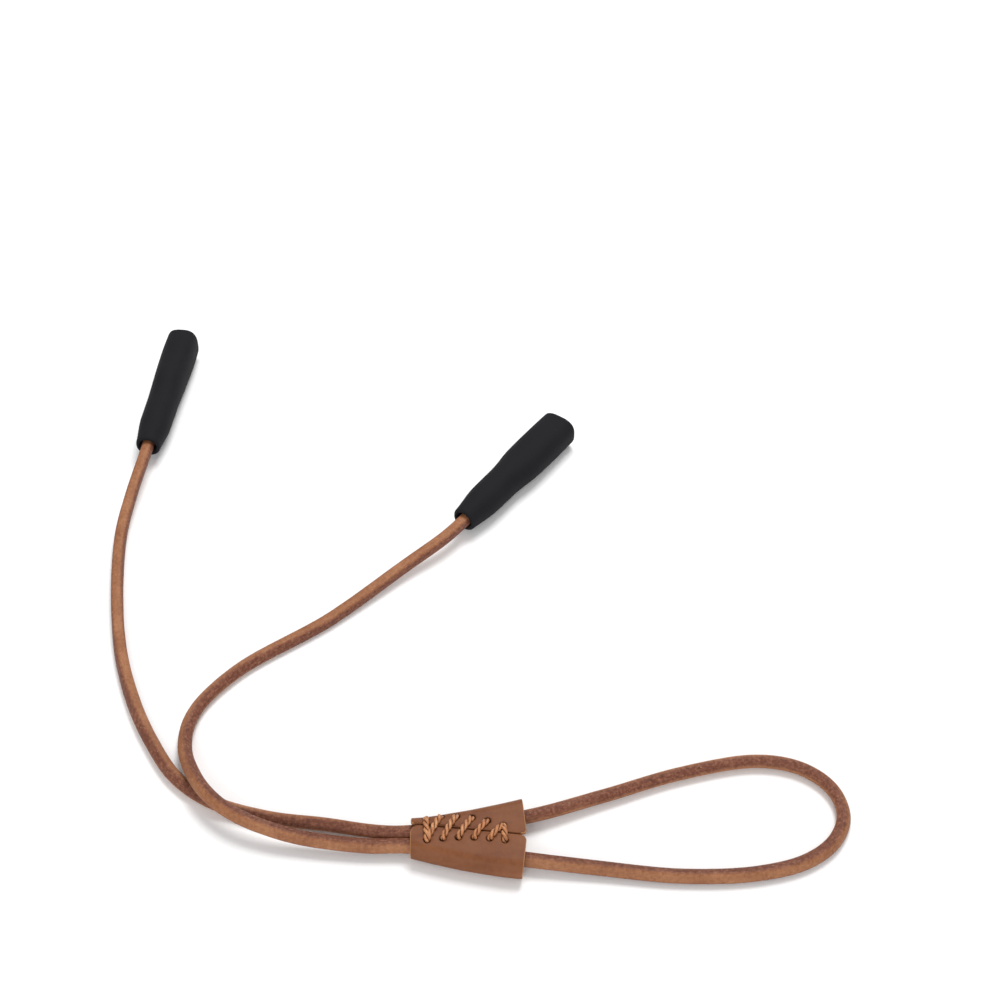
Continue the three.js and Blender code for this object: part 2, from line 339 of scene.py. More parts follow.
# %% [markdown]
# ## The temple sleeves
#
# A sleeve is moulded in soft rubber. It is widest at the mouth, where the tip of a temple goes in,
# and narrow at the other end, where the cord comes out. Inside are the socket, a chamber for the
# crimp and a bore for the cord. A subdivided box could be pushed into this shape, but a sleeve has
# a clear section at every point along it, so its outside and its inside are one closed row of rings.
# The outside is a smooth line through a few half widths and half heights.

# %% Sleeve sections
SLEEVE_LENGTH = 50
SLEEVE_SIDES = 64
RIM = 0.8
SLEEVE_OUTSIDE = [  # distance from the cord end, half width, half height, all in millimetres
    (RIM, 3.66, 3.66),
    (2.5, 3.84, 3.82),
    (5.0, 4.2, 4.16),
    (9.1, 4.76, 4.58),
    (15.0, 4.93, 4.64),
    (20.0, 4.96, 4.65),
    (23.5, 5.24, 4.72),
    (27.0, 5.74, 4.78),
    (30.0, 5.96, 4.85),
    (34.6, 5.97, 5.0),
    (40.4, 5.88, 5.1),
    (45.7, 5.8, 5.0),
    (SLEEVE_LENGTH - RIM, 5.7, 4.86),
]
SLEEVE_INSIDE = [  # from the mouth back to the cord end
    (SLEEVE_LENGTH - 0.12, 4.42, 3.52),
    (SLEEVE_LENGTH - 0.5, 4.1, 3.2),
    (SLEEVE_LENGTH - 1.2, 4.0, 3.1),
    (37, 4.0, 3.1),
    (24.6, 4.0, 3.1),
    (24.0, 3.6, 3.1),
    (23.4, 3.1, 3.1),
    (16, 3.1, 3.1),
    (9.3, 3.1, 3.1),
    (9.0, 2.8, 2.8),
    (8.7, 2.25, 2.25),
    (6, 2.2, 2.2),
    (3, 2.35, 2.35),
    (0.6, 2.55, 2.55),
    (0.12, 2.75, 2.75),
]


def rim_round(distance, width, height, outwards):
    """Three sections round an outer rim, from the end face to the side or back again."""
    made = []
    for angle in (10, 40, 68):
        lean, rise = math.cos(math.radians(angle)), math.sin(math.radians(angle))
        inset = RIM * (1 - rise)
        made.append((distance + outwards * RIM * lean, width - inset, height - inset))
    return made


outside = evenly(smooth_line(SLEEVE_OUTSIDE, 12), 0.7)
first, last = SLEEVE_OUTSIDE[0], SLEEVE_OUTSIDE[-1]
sleeve_outside = rim_round(*first, -1) + outside.tolist() + rim_round(*last, 1)[::-1]
sleeve_sections = np.array(sleeve_outside + SLEEVE_INSIDE)
print(len(sleeve_sections), "rings of", SLEEVE_SIDES, "points make a sleeve")


# %% Sleeve meshes
OVAL_POWER = 0.9  # 1 makes an oval, and less makes it squarer
MOUTH_SQUARER = 0.2  # how much more the outside loses towards the mouth
SWELL, SWELL_RATE = 0.012, 70


def sleeve_rings():
    """The rings of a sleeve that lies along +Y, with its cord end at the origin."""
    angles = np.arange(SLEEVE_SIDES) * 2 * math.pi / SLEEVE_SIDES
    rings = []
    for i, (along, width, height) in enumerate(sleeve_sections):
        power = OVAL_POWER if i < len(sleeve_outside) or width > height else 1.0
        if i < len(sleeve_outside):
            power -= MOUTH_SQUARER * np.clip(along / SLEEVE_LENGTH * 2 - 1, 0, 1)
        sine = np.sign(np.sin(angles)) * np.abs(np.sin(angles)) ** power
        cosine = np.sign(np.cos(angles)) * np.abs(np.cos(angles)) ** power
        ring = np.stack([width * sine, np.full(SLEEVE_SIDES, along), height * cosine], -1)
        rings.append(ring)
    return np.array(rings) * MM


def place_sleeve(name, node, place, turn, roll):
    """A sleeve with its cord end at a place, rolled about its axis and turned on the surface."""
    points = sleeve_rings().reshape(-1, 3)
    for i, point in enumerate(points):
        swell = noise.noise(Vector(point) * SWELL_RATE + Vector((roll, 0, 0)))
        points[i] += point * (1, 0, 1) * SWELL * swell
    if roll:
        points = points[:, [2, 1, 0]] * (1, 1, -1)
    cos, sin = math.cos(math.radians(turn)), math.sin(math.radians(turn))
    x, y = points[:, 0].copy(), points[:, 1].copy()
    points[:, 0], points[:, 1] = x * cos + y * sin, y * cos - x * sin
    points += place
    faces = ring_faces(len(sleeve_sections), SLEEVE_SIDES, looped=True)
    return fit(piece_of(name, points, faces), "strap", node)


left_sleeve = place_sleeve(
    "left_sleeve", "left_temple_sleeve", (-0.099, 0.1388, 0.006), turn=5.2, roll=90
)
right_sleeve = place_sleeve(
    "right_sleeve", "right_temple_sleeve", (-0.0025, 0.1084, 0.0051), turn=36, roll=0
)

# %% [markdown]
# ## The slide
#
# The slide is one piece of smooth leather, folded into a tapered tube and laced along the top. It
# starts as a flat sheet in code: one direction runs along the slide, the other round it from one
# side of the seam to the other. That makes the details of real leather easy. The flaps get round
# corners, the needle holes are cut out of the sheet, the leather is pressed in where the thread
# pulls, and every cut edge gets its thickness with a slightly rounded border. A boolean could cut
# the holes too, but it leaves long thin faces that show as dents in a soft curve.

# %% Slide sizes
slide_low, slide_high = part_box("slide_wrap")
NARROW_END, WIDE_END = slide_low.x, slide_high.x
NARROW_HALF, WIDE_HALF = 5.05 * MM, slide_high.y
SLIDE_HEIGHT = slide_high.z
CORNER = 3.05 * MM
LEATHER = 1.0 * MM
SEAM_GAP = 0.44 * MM
SEAM_AT_NARROW, SEAM_DRIFT = 2.1, 3.1  # millimetres, at the narrow end and from end to end
REAR_SPREAD, FRONT_SPREAD = 1.35, 1.45  # how late and how soon the two edges widen
HOLE_RADIUS = 0.78 * MM
HOLE_PITCH = 3.84 * MM
HOLES = 6  # in each row
FRONT_ROW = (-2.7, -1.9, -2.7)  # millimetres across: at the narrow end, the middle, the wide end
REAR_ROW = (4.0, 4.25, 1.6)
REAR_LEAD = 0.5 * MM


def along_share(x):
    """0 at the narrow end, 1 at the wide end."""
    return (x - NARROW_END) / (WIDE_END - NARROW_END)


def half_flat(x, side):
    """From the slide's middle to where its rounded side begins: the rear side is 1, the front -1."""
    share = np.clip(along_share(x), 0, 1)
    rear, front = share**REAR_SPREAD, 1 - (1 - share) ** FRONT_SPREAD
    spread = np.where(np.asarray(side) > 0, rear, front)
    return NARROW_HALF + spread * (WIDE_HALF - NARROW_HALF) - CORNER


def half_girth(x, side):
    """From the middle of the top to the middle of the underside, over one side."""
    return 2 * half_flat(x, side) + SLIDE_HEIGHT - 2 * CORNER + math.pi * CORNER


def girth(x):
    """All the way round the slide."""
    return half_girth(x, 1) + half_girth(x, -1)


def seam(x):
    """How far behind the middle of the top the seam runs."""
    return (SEAM_AT_NARROW - SEAM_DRIFT * along_share(x)) * MM


def needle_holes(row, lead):
    """The places of one row's holes: along the slide, and across its top from the middle."""
    narrow, middle, wide = (value * MM for value in row)
    half_row = (HOLES - 1) / 2
    steps = np.arange(HOLES) / half_row - 1
    across = middle + (wide - narrow) / 2 * steps
    across = across + ((wide + narrow) / 2 - middle) * steps**2
    return np.stack([steps * half_row * HOLE_PITCH - lead, across], axis=1)


front_holes = needle_holes(FRONT_ROW, 0)
rear_holes = needle_holes(REAR_ROW, REAR_LEAD)
all_holes = np.vstack([front_holes, rear_holes])
print("girth from", round(girth(NARROW_END) / MM, 1), "to", round(girth(WIDE_END) / MM, 1), "mm")

# %% [markdown]
# A place on the leather is given by x and by how far across the top it is, measured on the surface:
# down to minus half the girth under the slide, in front of the seam, and likewise up behind it. The
# dips round the holes, the lifted flap edges and a faint unevenness all change the depth only.


# %% Where a place on the leather is
DIMPLE_DEPTH, DIMPLE_REACH = 0.2 * MM, 1.25 * MM
FLAP_LIFT, FLAP_REACH = 0.16 * MM, 0.8 * MM
WAVE_DEPTH, WAVE_RATES = 0.07 * MM, (150, 110)


def pressed(x, across):
    """How deep the thread and the hand of the maker have pressed the leather in."""
    depth = np.zeros_like(x)
    for hole_x, hole_across in all_holes:
        far = np.hypot(x - hole_x, across - hole_across)
        depth += DIMPLE_DEPTH * np.exp(-((far / DIMPLE_REACH) ** 2))
    from_seam = np.abs(across - seam(x))
    depth -= FLAP_LIFT * np.exp(-((from_seam / FLAP_REACH) ** 2))
    along, round_it = (rate * way.ravel() for rate, way in zip(WAVE_RATES, (x, across)))
    wave = [noise.noise(Vector((a, b, 3.0))) for a, b in zip(along, round_it)]
    return depth + WAVE_DEPTH * np.reshape(wave, x.shape)


def on_slide(x, across, depth):
    """The point at a place on the slide, so deep below its outer surface."""
    quarter = math.pi / 2 * CORNER
    upright = SLIDE_HEIGHT - 2 * CORNER
    far = np.abs(across)
    side = np.sign(across)
    f = half_flat(x, side)
    turned = np.clip(far - f, 0, quarter) + np.clip(far - f - quarter - upright, 0, quarter)
    angle = turned / CORNER
    under = np.maximum(far - f - 2 * quarter - upright, 0)
    middle_y = np.minimum(far, f) - under
    middle_z = SLIDE_HEIGHT - CORNER - np.clip(far - f - quarter, 0, upright)
    reach = CORNER - depth
    y = side * (middle_y + reach * np.sin(angle))
    z = middle_z + reach * np.cos(angle)
    return np.stack([x, y, z], axis=-1)


print("top of the slide at", on_slide(np.zeros(1), np.zeros(1), np.zeros(1))[0])

# %% [markdown]
# The sheet is a grid. A flap's corner is rounded by letting the rows near the seam start later and
# stop earlier. A hole is made by leaving out the faces inside it and moving the points round it onto
# a circle. Where the sheet ends, its border is drawn in a little and closed with four more rows, so
# that the cut edge has a thickness and soft arrises.

# %% The flat sheet
ROWS, COLUMNS = 112, 190
CORNERS_MM = {("narrow", "front"): 2.3, ("wide", "front"): 1.5}
CORNERS_MM |= {("narrow", "rear"): 0.6, ("wide", "rear"): 1.3}
BULGE, BULGE_SHARE = 1.15 * MM, 0.22  # the wide end reaches further out beside the seam


def end_of(end, side, from_seam):
    """How far short of an end the sheet stops, so far from the seam."""
    radius = CORNERS_MM[end, side] * MM
    short = np.clip(radius - from_seam, 0, radius)
    return radius - np.sqrt(radius**2 - short**2)


def sheet_grid():
    """x and across at every point of the sheet. Across runs past the middle of the underside."""
    share = np.linspace(0, 1, COLUMNS + 1)[None, :]
    trimmed = {}
    for end, x_end in (("narrow", NARROW_END), ("wide", WIDE_END)):
        width = girth(x_end) - SEAM_GAP
        front = end_of(end, "front", share * width)
        rear = end_of(end, "rear", (1 - share) * width)
        trimmed[end] = front + rear
    bulge = BULGE * np.clip(1 - np.minimum(share, 1 - share) / BULGE_SHARE, 0, 1)
    start, stop = NARROW_END + trimmed["narrow"], WIDE_END - trimmed["wide"] + bulge
    x = start + (stop - start) * np.linspace(0, 1, ROWS + 1)[:, None]
    front = seam(x) - SEAM_GAP / 2
    round_it = front - share * (girth(x) - SEAM_GAP)
    return x, round_it


sheet_x, sheet_round = sheet_grid()
behind = sheet_round < -half_girth(sheet_x, -1)
print("a sheet of", ROWS, "by", COLUMNS, "faces")


# %% Holes and borders
def folded(x, round_it):
    """Across, from minus to plus half the girth, for a distance that runs all the way round."""
    return np.where(behind.ravel(), round_it + girth(x), round_it)


flat_x = sheet_x.ravel().copy()
flat_across = folded(flat_x, sheet_round.ravel())
corner_ids = np.arange((ROWS + 1) * (COLUMNS + 1)).reshape(ROWS + 1, COLUMNS + 1)
sheet_faces = np.stack(
    [corner_ids[:-1, :-1], corner_ids[1:, :-1], corner_ids[1:, 1:], corner_ids[:-1, 1:]], -1
).reshape(-1, 4)

for hole_x, hole_across in all_holes:
    far = np.hypot(flat_x - hole_x, flat_across - hole_across)
    inside = far[sheet_faces].mean(axis=1) < HOLE_RADIUS
    border = np.intersect1d(sheet_faces[inside], sheet_faces[~inside])
    stretch = HOLE_RADIUS / far[border]
    flat_x[border] = hole_x + (flat_x[border] - hole_x) * stretch
    flat_across[border] = hole_across + (flat_across[border] - hole_across) * stretch
    sheet_faces = sheet_faces[~inside]


def border_edges(faces):
    """The edges that belong to one face only, in the order in which their face has them."""
    edges = np.stack([faces, np.roll(faces, -1, axis=1)], -1).reshape(-1, 2)
    met = {}
    for edge in map(tuple, edges.tolist()):
        met[tuple(sorted(edge))] = None if tuple(sorted(edge)) in met else edge
    return [edge for edge in met.values() if edge]


sheet_border = border_edges(sheet_faces)
print(len(sheet_faces), "faces are left round the holes, with", len(sheet_border), "border edges")

# %% Slide mesh
EDGE_ROUND = 0.2 * MM
PROFILE = [(0.3, 0.3), (0.0, 1.0)]  # how far in and how deep, in edge rounds
LONG_STEP = 5 * MM  # no edge of the sheet is this long, so a longer step is a jump
HALO = 0.45 * MM  # how far the dark of a hole reaches

inwards = np.zeros((len(flat_x), 2))
for a, b in sheet_border:
    step_x = flat_x[b] - flat_x[a]
    step_across = flat_across[b] - flat_across[a]
    if abs(step_across) > LONG_STEP:  # across changes its sign under the slide
        step_across -= math.copysign(girth(flat_x[a]), step_across)
    for corner in (a, b):
        inwards[corner] += (step_across, -step_x)
lengths = np.linalg.norm(inwards, axis=1, keepdims=True)
inwards = np.divide(inwards, lengths, out=np.zeros_like(inwards), where=lengths > 0)


def sheet_points(inset, depth):
    """The sheet's points with its border drawn in and the whole at a depth."""
    x = flat_x + inset * inwards[:, 0]
    across = flat_across + inset * inwards[:, 1]
    return on_slide(x, across, depth + pressed(x, across))


levels = [sheet_points(EDGE_ROUND, 0)]
levels += [sheet_points(i * EDGE_ROUND, d * EDGE_ROUND) for i, d in PROFILE]
levels += [sheet_points(i * EDGE_ROUND, LEATHER - d * EDGE_ROUND) for i, d in PROFILE[::-1]]
levels += [sheet_points(EDGE_ROUND, LEATHER)]
count = len(flat_x)
steps_down = len(levels) - 1
slide_faces = sheet_faces.tolist() + (sheet_faces[:, ::-1] + steps_down * count).tolist()
for a, b in sheet_border:
    for level in range(steps_down):
        upper, lower = level * count, (level + 1) * count
        slide_faces.append([b + upper, a + upper, a + lower, b + lower])

nearest_hole = np.min(
    [np.hypot(flat_x - x, flat_across - across) for x, across in all_holes], axis=0
)
near_hole = np.exp(-(((nearest_hole - HOLE_RADIUS) / HALO) ** 2))
on_border = np.zeros(count)
on_border[np.unique(sheet_border)] = 1
at_end = np.isin(np.arange(count), corner_ids[[0, -1]])
border_share = np.stack([0.25 * on_border, *[np.ones(count)] * 4, on_border])
slide_points = np.vstack(levels)
slide_marks = {
    "cut_edge": (border_share * at_end).ravel(),
    "near_hole": np.tile(near_hole, len(levels)),
    "flesh_side": np.repeat([0, 0, 0.3, 0.7, 1, 1], count),
}
used, slide_faces_used = np.unique(np.concatenate(slide_faces), return_inverse=True)
slide_leather = piece_of(
    "slide_leather",
    slide_points[used],
    slide_faces_used.reshape(-1, 4).tolist(),
    marks={mark: values[used] for mark, values in slide_marks.items()},
)
fit(slide_leather, "slide", "slide_wrap")

# %% [markdown]
# ## The stitches
#
# One length of waxed thread laces the seam. It comes up through a front hole, crosses the seam to
# the next rear hole, goes down, and returns under the leather to the next front hole. The first
# front hole and the last rear hole hold two stitches each, which lean apart. The thread has two
# plies, and these are modelled, because the twist is what makes waxed thread look like thread. Both
# plies wind round one line that follows the whole lacing, so that nothing ends in the open.

# %% The line of the lacing
PLY_RADIUS = 0.41 * MM
PLY_PITCH = 3.6 * MM
PLY_APART = 0.92  # less than 1, so that the two plies press into each other
THREAD_LIFT = PLY_RADIUS * 2 - 0.06 * MM
UNDER_LEATHER = LEATHER + 0.34 * MM
SLIM = 0.45  # the share of its thickness that the thread keeps where it is pulled flat inside
SLIM_FROM, SLIM_TO = 1.2 * MM, 0.6 * MM  # below the top of the slide
RISE = [(0.03, 0.15), (0.12, 0.85), (0.3, 1.0), (0.5, 1.06)]  # share of the way, share of the lift
RISE += [(0.7, 1.0), (0.88, 0.85), (0.97, 0.15)]


def beside(hole, other, distance):
    """A place in a hole, shifted towards the other end of the stitch."""
    way = (other - hole) / np.linalg.norm(other - hole)
    return hole + way * distance


def thread_stop(place, depth):
    """A point of the thread, so deep below the leather's surface at a place."""
    x, across = np.array([place[0]]), np.array([place[1]])
    return on_slide(x, across, depth + pressed(x, across))[0]


def over_seam(front, rear):
    """A stitch on the outside, from below one hole to below the other."""
    a, b = beside(front, rear, 0.2 * MM), beside(rear, front, 0.2 * MM)
    stops = [thread_stop(a, LEATHER * 1.02), thread_stop(a, LEATHER * 0.5)]
    for share, lift in RISE:
        stops.append(thread_stop(a + (b - a) * share, -lift * THREAD_LIFT))
    return stops + [thread_stop(b, LEATHER * 0.5), thread_stop(b, LEATHER * 1.02)]


def under_leather(rear, front):
    """The way back inside the slide, flat against the leather."""
    shares = (0.12, 0.5, 0.88)
    return [thread_stop(rear + (front - rear) * share, UNDER_LEATHER) for share in shares]


fronts = [front_holes[0], *front_holes]
rears = [*rear_holes, rear_holes[-1]]
lacing = over_seam(fronts[0], rears[0])
for last_rear, front, rear in zip(rears, fronts[1:], rears[1:]):
    lacing += under_leather(last_rear, front) + over_seam(front, rear)
lacing_line = evenly(smooth_line(lacing, 10), 0.16 * MM)
print(f"{travelled(lacing_line)[-1] / MM:.0f} mm of thread in {len(rears)} stitches")

# %% Stitch mesh
PLY_SIDES = 10
turns = travelled(lacing_line) * 2 * math.pi / PLY_PITCH
lace_sides, lace_ups = across_line(lacing_line)
slim_heights = (SLIDE_HEIGHT - SLIM_FROM, SLIDE_HEIGHT - SLIM_TO)
slim = np.interp(lacing_line[:, 2], slim_heights, (SLIM, 1))
ply_points, ply_faces, ply_uv, ply_shade_marks = [], [], [], []
for half_turn in (0, math.pi):
    out = np.cos(turns + half_turn)[:, None] * lace_sides
    out = out + np.sin(turns + half_turn)[:, None] * lace_ups
    ply_line = lacing_line + out * PLY_RADIUS * PLY_APART * slim[:, None]
    rings = rings_on(ply_line, circle(PLY_SIDES, PLY_RADIUS) * slim[:, None, None])
    facing = ((rings - ply_line[:, None]) * out[:, None]).sum(-1) / PLY_RADIUS
    ply_faces += ring_faces(len(rings), PLY_SIDES, first=sum(map(len, ply_points)))
    ply_points.append(rings.reshape(-1, 3))
    ply_uv.append(
        ring_uv(len(rings), PLY_SIDES, 2 * math.pi * PLY_RADIUS, travelled(ply_line))
    )
    # points of a ply that face the other ply are marked for painted shade in the groove between the
    # plies
    ply_shade_marks.append(np.clip(0.15 - facing, 0, 1).ravel())
waxed_lacing = piece_of(
    "waxed_lacing",
    np.vstack(ply_points),
    ply_faces,
    marks={"between_plies": np.concatenate(ply_shade_marks)},
    uv=np.vstack(ply_uv),
)
fit(waxed_lacing, "slide", "stitch_thread")

# %% [markdown]
# ## Finishes
#
# A finish is a network of shader nodes. Written out link by link it is hard to read, so two small
# classes do the wiring. A Value is one number that varies over a surface, and it takes part in plain
# arithmetic: 1 - mask adds a Math node. A Finish is one material, and its method `node` adds any
# other node from its type, its settings and what goes into its sockets.


# %% Shader arithmetic
def arithmetic(operation, reflected=False):
    """A method that joins two numbers with a Math node."""

    def method(self, other):
        pair = (other, self) if reflected else (self, other)
        sockets = dict(enumerate(pair))
        return self.finish.node("ShaderNodeMath", {"operation": operation}, sockets)

    return method


class Value:
    """A socket of a finish that holds one number."""

    def __init__(self, finish, socket):
        self.finish, self.socket = finish, socket

    __add__ = arithmetic("ADD")
    __radd__ = arithmetic("ADD", reflected=True)
    __sub__ = arithmetic("SUBTRACT")
    __rsub__ = arithmetic("SUBTRACT", reflected=True)
    __mul__ = arithmetic("MULTIPLY")
    __rmul__ = arithmetic("MULTIPLY", reflected=True)


class Finish:
    """A material that is built up node by node."""

    def __init__(self, name, **fixed):
        self.material = bpy.data.materials.new(name)
        self.material.use_nodes = True
        self.tree = self.material.node_tree
        self.shader = self.tree.nodes["Principled BSDF"]
        for socket, value in fixed.items():
            self.shader.inputs[socket.replace("_", " ")].default_value = value

    def feed(self, socket, value):
        """Links a socket to a Value, or sets it to a number, a vector or a colour."""
        if isinstance(value, Value):
            self.tree.links.new(value.socket, socket)
        else:
            socket.default_value = value

    def node(self, kind, settings=None, sockets=None, output=0):
        """Adds a node: first its settings, then what goes into its sockets."""
        node = self.tree.nodes.new(kind)
        for setting, value in (settings or {}).items():
            if setting == "stops":
                ramp = node.color_ramp.elements
                while len(ramp) < len(value):
                    ramp.new(0.5)
                for element, (place, colour) in zip(ramp, value):
                    element.position, element.color = place, colour
            else:
                setattr(node, setting, value)
        for socket, value in (sockets or {}).items():
            self.feed(node.inputs[socket], value)
        return Value(self, node.outputs[output])

    def noise(self, where, scale, detail, roughness, shift=0.0):
        """Soft noise from 0 to 1, with about scale features to the metre."""
        settings = {"noise_dimensions": "4D"}
        sockets = {"Vector": where, "W": shift, "Scale": scale}
        sockets |= {"Detail": detail, "Roughness": roughness}
        return self.node("ShaderNodeTexNoise", settings, sockets)

    def between(self, value, low, high):
        """0 below low, 1 above high, and a smooth step from one to the other."""
        settings = {"interpolation_type": "SMOOTHSTEP"}
        sockets = {"Value": value, "From Min": low, "From Max": high}
        return self.node("ShaderNodeMapRange", settings, sockets)

    def ramp(self, value, *stops):
        """A colour that goes through the stops as the value goes from 0 to 1."""
        return self.node("ShaderNodeValToRGB", {"stops": stops}, {0: value})

    def mix(self, share, one, other):
        """One colour at share 0, the other at share 1."""
        settings = {"data_type": "RGBA"}
        return self.node("ShaderNodeMix", settings, {0: share, 6: one, 7: other}, output=2)

    def scaled(self, where, scale):
        """Coordinates stretched by a different amount along each axis."""
        return self.node(
            "ShaderNodeVectorMath", {"operation": "MULTIPLY"}, {0: where, 1: scale}
        )

    def mark(self, name):
        """A mark on the points of a mesh."""
        return self.node("ShaderNodeAttribute", {"attribute_name": name}, output=2)

    def finish_with(self, colour, roughness, height, depth):
        """Feeds the shader. Height 0 to 1 becomes a relief of that depth in metres."""
        self.feed(self.shader.inputs["Base Color"], colour)
        self.feed(self.shader.inputs["Roughness"], roughness)
        relief = self.node("ShaderNodeBump", {}, {"Distance": depth, "Height": height})
        self.feed(self.shader.inputs["Normal"], relief)
        print(f"{self.material.name}: {len(self.tree.nodes)} nodes")
        return self.material


def tone(code):
    """A colour for a socket from a web colour code."""
    parts = [int(code[i : i + 2], 16) / 255 for i in (0, 2, 4)]
    return (*[((p + 0.055) / 1.055) ** 2.4 if p > 0.04045 else p / 12.92 for p in parts], 1)


print("the web colour 808080 is", round(tone("808080")[0], 3), "in a socket")


# %% [markdown]
# ## Leather for the cord
#
# The smooth faces of the cord are an even tan with soft patches. On the cut sides the colour is
# darker and breaks up into short streaks and grains. Both are crossed by fine creases where the
# cord has been bent, and now and then a pale fibre stands out. The pattern follows the UV map,
# which measures round and along the cord, so that it turns with the cord in every bend.

# %% Cord leather
cord_finish = Finish("cord_leather", Specular_IOR_Level=0.25)
wound = cord_finish.node("ShaderNodeUVMap", {"uv_map": "round_and_along"})
fibres = cord_finish.noise(cord_finish.scaled(wound, (1.0, 0.4, 1)), 2100, 4, 0.62)
mottles = cord_finish.noise(wound, 1000, 4, 0.65, shift=1.0)
patches = cord_finish.noise(wound, 130, 3, 0.55, shift=2.0)
reaches = cord_finish.noise(wound, 22, 2, 0.5, shift=5.0)
creases = cord_finish.noise(cord_finish.scaled(wound, (0.35, 1.0, 1)), 1300, 3, 0.6, shift=7.0)
flecks = cord_finish.noise(cord_finish.scaled(wound, (1.0, 0.7, 1)), 2000, 2, 0.5, shift=9.0)
on_cut_side = cord_finish.mark("cut_side")
smooth_tint = cord_finish.ramp(
    0.35 * mottles + 0.25 * patches + 0.2 * fibres + 0.2 * reaches,
    (0.36, tone("74462e")),
    (0.48, tone("8f5d3e")),
    (0.6, tone("a57350")),
)
cut_tint = cord_finish.ramp(
    0.5 * mottles + 0.35 * fibres + 0.15 * patches,
    (0.36, tone("46241a")),
    (0.5, tone("6e4130")),
    (0.64, tone("94654d")),
)
cord_tint = cord_finish.mix(on_cut_side, smooth_tint, cut_tint)
cord_tint = cord_finish.mix(
    cord_finish.between(creases, 0.56, 0.72) * 0.4, cord_tint, tone("50291a")
)
cord_tint = cord_finish.mix(
    cord_finish.between(flecks, 0.66, 0.76) * (0.25 + 0.4 * on_cut_side), cord_tint, tone("dcb596")
)
leather_strand.data.materials.append(
    cord_finish.finish_with(
        cord_tint,
        0.52 + 0.28 * fibres - 0.1 * patches,
        (0.4 + 0.4 * on_cut_side) * fibres + 0.3 * mottles + 0.4 * creases,
        0.00014,
    )
)

# %% [markdown]
# ## Leather for the slide
#
# The slide is smooth, full-grain leather. It has fine pores and a slow drift between two browns.
# The needle darkened the leather round the holes. Where the leather was cut, its pale fibres show,
# and the flesh side inside the tube is rough. The marks that were put on the mesh say where each of
# these is.

# %% Slide leather
slide_finish = Finish("slide_leather", Specular_IOR_Level=0.22)
place = slide_finish.node("ShaderNodeTexCoord", output=3)
drift = slide_finish.noise(slide_finish.scaled(place, (0.5, 1.2, 1)), 190, 3, 0.5)
clouds = slide_finish.noise(place, 620, 4, 0.6, shift=3.0)
pores = slide_finish.node(
    "ShaderNodeTexVoronoi", {"feature": "F1"}, {"Vector": place, "Scale": 2600.0}
)
cut_edge = slide_finish.mark("cut_edge")
near_hole = slide_finish.mark("near_hole")
flesh_side = slide_finish.mark("flesh_side")
fuzz = slide_finish.noise(place, 3800, 3, 0.65, shift=6.0)
slide_tint = slide_finish.ramp(
    0.6 * drift + 0.4 * clouds,
    (0.3, tone("64361c")),
    (0.5, tone("754527")),
    (0.72, tone("825233")),
)
slide_tint = slide_finish.mix(
    slide_finish.between(near_hole, 0.35, 1.0) * 0.5, slide_tint, tone("3a1e0f")
)
slide_tint = slide_finish.mix(flesh_side * 0.55, slide_tint, tone("a57b58"))
slide_tint = slide_finish.mix(
    cut_edge * (1 - near_hole) * (0.45 + 0.5 * fuzz), slide_tint, tone("bd8c60")
)
slide_leather.data.materials.append(
    slide_finish.finish_with(
        slide_tint,
        0.46 + 0.16 * clouds + 0.25 * cut_edge,
        0.5 * clouds + 0.35 * pores + (0.1 + flesh_side) * fuzz,
        0.00009,
    )
)

# %% [markdown]
# ## Waxed thread
#
# Wax makes the thread shine in small highlights. Where the two plies meet, the colour is painted
# darker: painted shade in the groove between them. The fine fibres of each ply run at a slant
# round it, which is a noise pattern sheared along the UV map.

# %% Thread finish
thread_finish = Finish("waxed_thread", Specular_IOR_Level=0.5)
laid = thread_finish.node("ShaderNodeUVMap", {"uv_map": "round_and_along"})
slanted = thread_finish.node(
    "ShaderNodeMapping",
    {},
    {"Vector": laid, "Rotation": (0, 0, math.radians(32)), "Scale": (1.0, 0.22, 1.0)},
)
hairs = thread_finish.noise(slanted, 6500, 3, 0.6)
shades = thread_finish.noise(laid, 420, 2, 0.5, shift=4.0)
between_plies = thread_finish.mark("between_plies")
thread_tint = thread_finish.ramp(
    0.5 * hairs + 0.5 * shades,
    (0.3, tone("80492a")),
    (0.5, tone("b27449")),
    (0.68, tone("e0ac7c")),
)
# painted shade: the thread is painted darker where the two plies meet, in the groove between them
thread_tint = thread_finish.mix(
    thread_finish.between(between_plies, 0.1, 0.75) * 0.8, thread_tint, tone("4d2611")
)
waxed_lacing.data.materials.append(
    thread_finish.finish_with(thread_tint, 0.34 + 0.2 * hairs, hairs, 0.00006)
)

# %% [markdown]
# ## Rubber for the sleeves
#
# Soft black rubber is nearly black and nearly matt. It isn't flat: the mould leaves a fine grain,
# handling leaves smoother patches, and a little dust clings to it.

# %% Sleeve rubber
rubber_finish = Finish("sleeve_rubber", Specular_IOR_Level=0.12)
spot = rubber_finish.node("ShaderNodeTexCoord", output=3)
mould_grain = rubber_finish.noise(spot, 5200, 3, 0.6)
handled = rubber_finish.noise(spot, 150, 3, 0.5, shift=2.0)
dust = rubber_finish.noise(spot, 2400, 2, 0.5, shift=8.0)
rubber_tint = rubber_finish.ramp(
    0.5 * handled + 0.5 * mould_grain,
    (0.35, tone("151417")),
    (0.65, tone("1c1b1f")),
)
rubber_tint = rubber_finish.mix(
    rubber_finish.between(dust, 0.7, 0.8) * 0.2, rubber_tint, tone("4b4a48")
)
sleeve_rubber = rubber_finish.finish_with(
    rubber_tint, 0.64 + 0.2 * handled, mould_grain, 0.00005
)
for sleeve in (left_sleeve, right_sleeve):
    sleeve.data.materials.append(sleeve_rubber)

# %% [markdown]
# ## Metal for the crimps
#
# Inside each sleeve a small metal crimp is pressed round the end of the cord, so that it can't be
# pulled out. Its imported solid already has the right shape, so it stays and only gets a finish:
# drawn tube with fine scratches round it and a few dull patches.

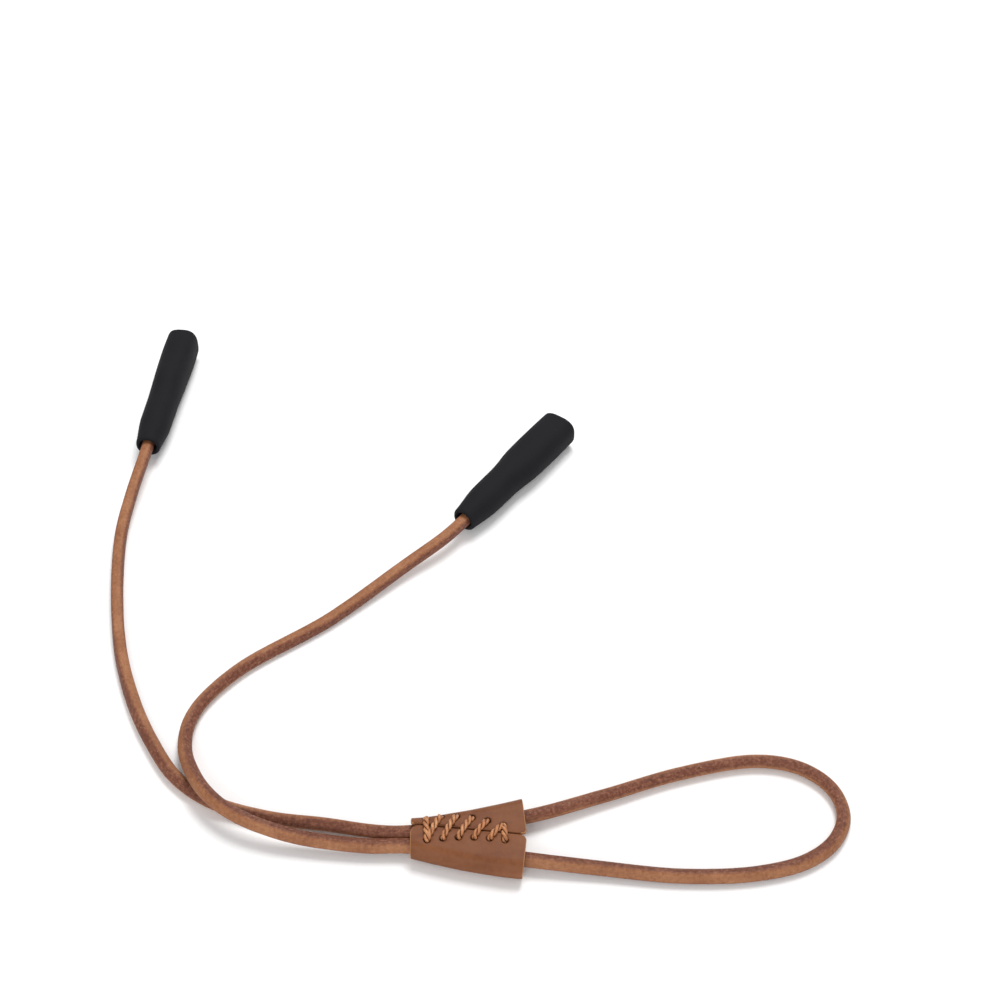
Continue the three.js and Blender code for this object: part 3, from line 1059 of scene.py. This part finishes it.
# %% Crimp metal
crimp_finish = Finish("crimp_metal", Metallic=1.0)
spot = crimp_finish.node("ShaderNodeTexCoord", output=3)
drawn = crimp_finish.noise(crimp_finish.scaled(spot, (1.0, 6.0, 1.0)), 1500, 3, 0.6)
dull = crimp_finish.noise(spot, 700, 2, 0.5, shift=3.0)
crimp_tint = crimp_finish.ramp(dull, (0.35, tone("9b958a")), (0.65, tone("c4bfb4")))
crimp_metal = crimp_finish.finish_with(crimp_tint, 0.24 + 0.22 * dull, drawn, 0.00003)
for node in ("left_cord_crimp", "right_cord_crimp"):
    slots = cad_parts[node].material_slots
    for slot in slots:
        slot.material = crimp_metal
print("crimps have", len(slots), "slot each")

# %% [markdown]
# ## The studio
#
# The strap lies on a white table. A white surround lights it from all sides, and one large soft
# light, high behind it, gives the leather its shape and lays faint shadows towards the camera. A
# second one, low in front, brightens the sides that face the camera. The standard view transform
# keeps white paper white.

# %% Table, light and view
HALF_TABLE, TABLE_TOP = 3, -5e-5
SQUARE = ((-1, -1), (1, -1), (1, 1), (-1, 1))
table_corners = [(x * HALF_TABLE, y * HALF_TABLE, TABLE_TOP) for x, y in SQUARE]
table = piece_of("table", table_corners, [[0, 1, 2, 3]])
table_finish = Finish("white_table", Specular_IOR_Level=0.1)
spot = table_finish.node("ShaderNodeTexCoord", output=3)
paper = table_finish.noise(spot, 900, 2, 0.5)
paper_tint = table_finish.ramp(paper, (0.3, (0.93, 0.93, 0.93, 1)), (0.7, (0.95, 0.95, 0.95, 1)))
table.data.materials.append(
    table_finish.finish_with(paper_tint, 0.8 + 0.1 * paper, paper, 0.00001)
)

world = bpy.data.worlds.new("white_surround")
world.use_nodes = True
world.node_tree.nodes["Background"].inputs["Color"].default_value = (1, 1, 1, 1)
world.node_tree.nodes["Background"].inputs["Strength"].default_value = 0.58
bpy.context.scene.world = world


def soft_light(name, place, aim, size, power):
    """A square light of so many metres a side that shines from a place towards a point."""
    light = bpy.data.lights.new(name, "AREA")
    light.size, light.energy = size, power
    holder = bpy.data.objects.new(name, light)
    holder.location = place
    way = Vector(aim) - Vector(place)
    holder.rotation_euler = way.to_track_quat("-Z", "Y").to_euler()
    bpy.context.scene.collection.objects.link(holder)


soft_light("key", (0.15, 0.55, 1.0), (0, 0.08, 0), 0.5, 9.0)
soft_light("fill", (-0.2, -1.0, 0.55), (0, 0.05, 0), 0.7, 6.0)
bpy.context.scene.view_settings.view_transform = "Standard"
